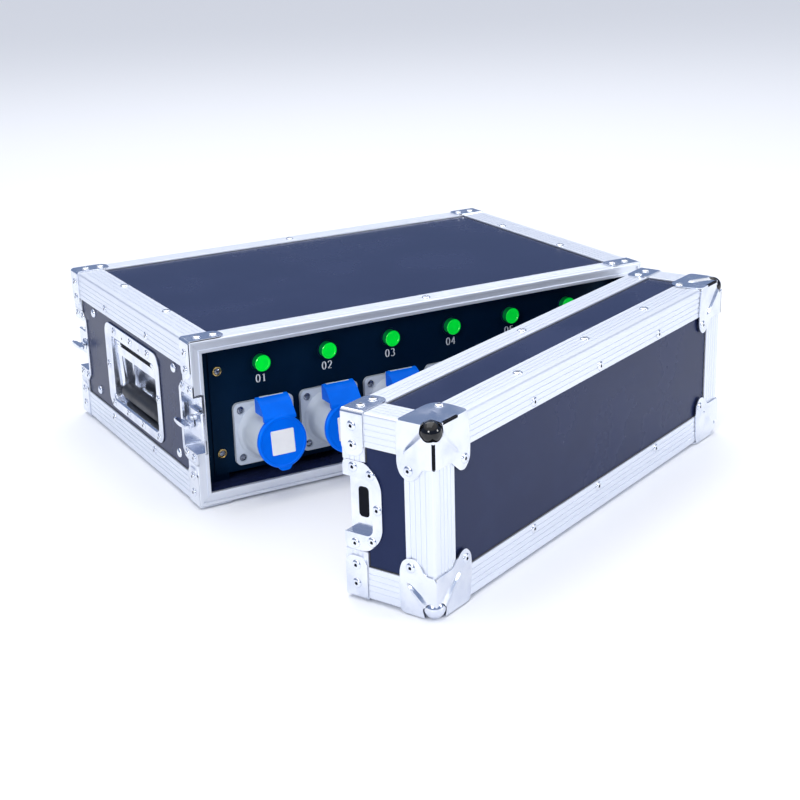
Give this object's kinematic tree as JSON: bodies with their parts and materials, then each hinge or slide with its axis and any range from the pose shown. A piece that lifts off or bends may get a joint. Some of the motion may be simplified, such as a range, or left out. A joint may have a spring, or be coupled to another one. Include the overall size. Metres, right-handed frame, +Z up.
{
  "type": "power distribution box",
  "caption": "Portable power distribution box: lidded round sockets with indicator lamps on a rack panel in a flight case with its front lid stood off.",
  "frame": {"origin": "on the floor, under the middle of the case and the lid together", "axes": "+Z up, +Y from the socket panel to the rear of the case, +X to the right as the sockets are faced"},
  "size_m": [0.5763, 0.6906, 0.176],
  "materials": {
    "aluminium": "natural anodised extrusion with fine grooves along its length",
    "laminate": "finely textured dark blue-grey laminate on plywood",
    "latch_steel": "zinc and nickel plated pressed steel",
    "handle": "plated steel bail in a black moulded rubber grip",
    "panel_black": "satin black powder coat",
    "lamp_green": "clear green lens in a dark ring",
    "socket_blue": "smooth moulded plastic",
    "socket_grey": "smooth moulded plastic",
    "breaker_grey": "satin moulded plastic",
    "breaker_black": "satin moulded plastic",
    "wiring_black": "insulated cable and terminal blocks"
  },
  "bodies": {
    "case": {"top_panel": "laminate", "bottom_panel": "laminate", "left_side_panel": "laminate", "right_side_panel": "laminate", "top_left_edge_angle": "aluminium", "top_right_edge_angle": "aluminium", "bottom_left_edge_angle": "aluminium", "bottom_right_edge_angle": "aluminium", "front_rim": "aluminium", "rear_rim": "aluminium", "left_handle_dish": "aluminium", "right_handle_dish": "aluminium", "front_left_latch_dish": "latch_steel", "front_right_latch_dish": "latch_steel", "rear_left_latch_dish": "latch_steel", "rear_right_latch_dish": "latch_steel", "front_panel": "panel_black", "rear_panel": "panel_black", "lamp_1": "lamp_green", "lamp_2": "lamp_green", "lamp_3": "lamp_green", "lamp_4": "lamp_green", "lamp_5": "lamp_green", "lamp_6": "lamp_green", "socket_1": "socket_grey", "socket_2": "socket_grey", "socket_3": "socket_grey", "socket_4": "socket_grey", "socket_5": "socket_grey", "socket_6": "socket_grey", "supply_inlet": "socket_grey", "main_breaker": "breaker_grey", "terminal_strip_and_wiring": "wiring_black"},
    "lid": {"lid_box": "laminate", "lid_edge_frame": "aluminium", "lid_rim": "aluminium", "lid_top_left_corner": "latch_steel", "lid_top_right_corner": "latch_steel", "lid_bottom_left_corner": "latch_steel", "lid_bottom_right_corner": "latch_steel", "lid_left_catch": "latch_steel", "lid_right_catch": "latch_steel"},
    "left_handle": {"left_handle": "handle"},
    "right_handle": {"right_handle": "handle"},
    "front_left_latch_wing": {"front_left_latch_wing": "latch_steel"},
    "front_left_latch_hook": {"front_left_latch_hook": "latch_steel"},
    "front_right_latch_wing": {"front_right_latch_wing": "latch_steel"},
    "front_right_latch_hook": {"front_right_latch_hook": "latch_steel"},
    "rear_left_latch_wing": {"rear_left_latch_wing": "latch_steel"},
    "rear_left_latch_hook": {"rear_left_latch_hook": "latch_steel"},
    "rear_right_latch_wing": {"rear_right_latch_wing": "latch_steel"},
    "rear_right_latch_hook": {"rear_right_latch_hook": "latch_steel"},
    "socket_lid_1": {"socket_lid_1": "socket_blue"},
    "socket_lid_2": {"socket_lid_2": "socket_blue"},
    "socket_lid_3": {"socket_lid_3": "socket_blue"},
    "socket_lid_4": {"socket_lid_4": "socket_blue"},
    "socket_lid_5": {"socket_lid_5": "socket_blue"},
    "socket_lid_6": {"socket_lid_6": "socket_blue"},
    "supply_inlet_lid": {"supply_inlet_lid": "socket_blue"},
    "main_breaker_toggle": {"main_breaker_toggle": "breaker_black"}
  },
  "joints": [
    {"name": "left_handle_lift", "type": "hinge", "parent": "case", "child": "left_handle", "pos_m": [-0.268, 0.162, 0.117], "axis": [0, 1, 0], "range_deg": [0, 90], "stiffness_Nm_per_rad": 0.4, "springref_deg": -17.19},
    {"name": "right_handle_lift", "type": "hinge", "parent": "case", "child": "right_handle", "pos_m": [0.254, 0.162, 0.117], "axis": [0, -1, 0], "range_deg": [0, 90], "stiffness_Nm_per_rad": 0.4, "springref_deg": -17.19},
    {"name": "front_left_latch_turn", "type": "hinge", "parent": "case", "child": "front_left_latch_wing", "pos_m": [-0.277, 0.009, 0.088], "axis": [-1, 0, 0], "range_deg": [0, 180]},
    {"name": "front_left_latch_draw", "type": "slide", "parent": "case", "child": "front_left_latch_hook", "axis": [0, 1, 0], "range_m": [0, 0.006]},
    {"name": "front_right_latch_turn", "type": "hinge", "parent": "case", "child": "front_right_latch_wing", "pos_m": [0.263, 0.009, 0.088], "axis": [1, 0, 0], "range_deg": [0, 180]},
    {"name": "front_right_latch_draw", "type": "slide", "parent": "case", "child": "front_right_latch_hook", "axis": [0, 1, 0], "range_m": [0, 0.006]},
    {"name": "rear_left_latch_turn", "type": "hinge", "parent": "case", "child": "rear_left_latch_wing", "pos_m": [-0.277, 0.323, 0.088], "axis": [-1, 0, 0], "range_deg": [0, 180]},
    {"name": "rear_left_latch_draw", "type": "slide", "parent": "case", "child": "rear_left_latch_hook", "axis": [0, -1, 0], "range_m": [0, 0.006]},
    {"name": "rear_right_latch_turn", "type": "hinge", "parent": "case", "child": "rear_right_latch_wing", "pos_m": [0.263, 0.323, 0.088], "axis": [1, 0, 0], "range_deg": [0, 180]},
    {"name": "rear_right_latch_draw", "type": "slide", "parent": "case", "child": "rear_right_latch_hook", "axis": [0, -1, 0], "range_m": [0, 0.006]},
    {"name": "socket_lid_1_lift", "type": "hinge", "parent": "case", "child": "socket_lid_1", "pos_m": [-0.193, 0.009, 0.0953], "axis": [-1, 0, 0], "range_deg": [0, 80], "stiffness_Nm_per_rad": 0.03, "springref_deg": -28.65},
    {"name": "socket_lid_2_lift", "type": "hinge", "parent": "case", "child": "socket_lid_2", "pos_m": [-0.1186, 0.009, 0.0953], "axis": [-1, 0, 0], "range_deg": [0, 80], "stiffness_Nm_per_rad": 0.03, "springref_deg": -28.65},
    {"name": "socket_lid_3_lift", "type": "hinge", "parent": "case", "child": "socket_lid_3", "pos_m": [-0.0442, 0.009, 0.0953], "axis": [-1, 0, 0], "range_deg": [0, 80], "stiffness_Nm_per_rad": 0.03, "springref_deg": -28.65},
    {"name": "socket_lid_4_lift", "type": "hinge", "parent": "case", "child": "socket_lid_4", "pos_m": [0.0302, 0.009, 0.0953], "axis": [-1, 0, 0], "range_deg": [0, 80], "stiffness_Nm_per_rad": 0.03, "springref_deg": -28.65},
    {"name": "socket_lid_5_lift", "type": "hinge", "parent": "case", "child": "socket_lid_5", "pos_m": [0.1046, 0.009, 0.0953], "axis": [-1, 0, 0], "range_deg": [0, 80], "stiffness_Nm_per_rad": 0.03, "springref_deg": -28.65},
    {"name": "socket_lid_6_lift", "type": "hinge", "parent": "case", "child": "socket_lid_6", "pos_m": [0.179, 0.009, 0.0953], "axis": [-1, 0, 0], "range_deg": [0, 80], "stiffness_Nm_per_rad": 0.03, "springref_deg": -28.65},
    {"name": "supply_inlet_lid_lift", "type": "hinge", "parent": "case", "child": "supply_inlet_lid", "pos_m": [0.093, 0.295, 0.1193], "axis": [1, 0, 0], "range_deg": [0, 60], "stiffness_Nm_per_rad": 0.05, "springref_deg": -34.38},
    {"name": "main_breaker_switch", "type": "hinge", "parent": "case", "child": "main_breaker_toggle", "pos_m": [-0.097, 0.2788, 0.088], "axis": [-1, 0, 0], "range_deg": [0, 50]},
    {"name": "lid_place", "type": "hinge", "parent": "case", "child": "lid", "pos_m": [0.3014, -0.0538, 0.088], "axis": [0, 0, 1], "range_deg": [-24.7, 30]}
  ],
  "couplings": [
    {"joint": "front_left_latch_turn", "follows": "front_left_latch_draw", "rad_per_m": 523},
    {"joint": "front_right_latch_turn", "follows": "front_right_latch_draw", "rad_per_m": 523},
    {"joint": "rear_left_latch_turn", "follows": "rear_left_latch_draw", "rad_per_m": 523},
    {"joint": "rear_right_latch_turn", "follows": "rear_right_latch_draw", "rad_per_m": 523}
  ]
}
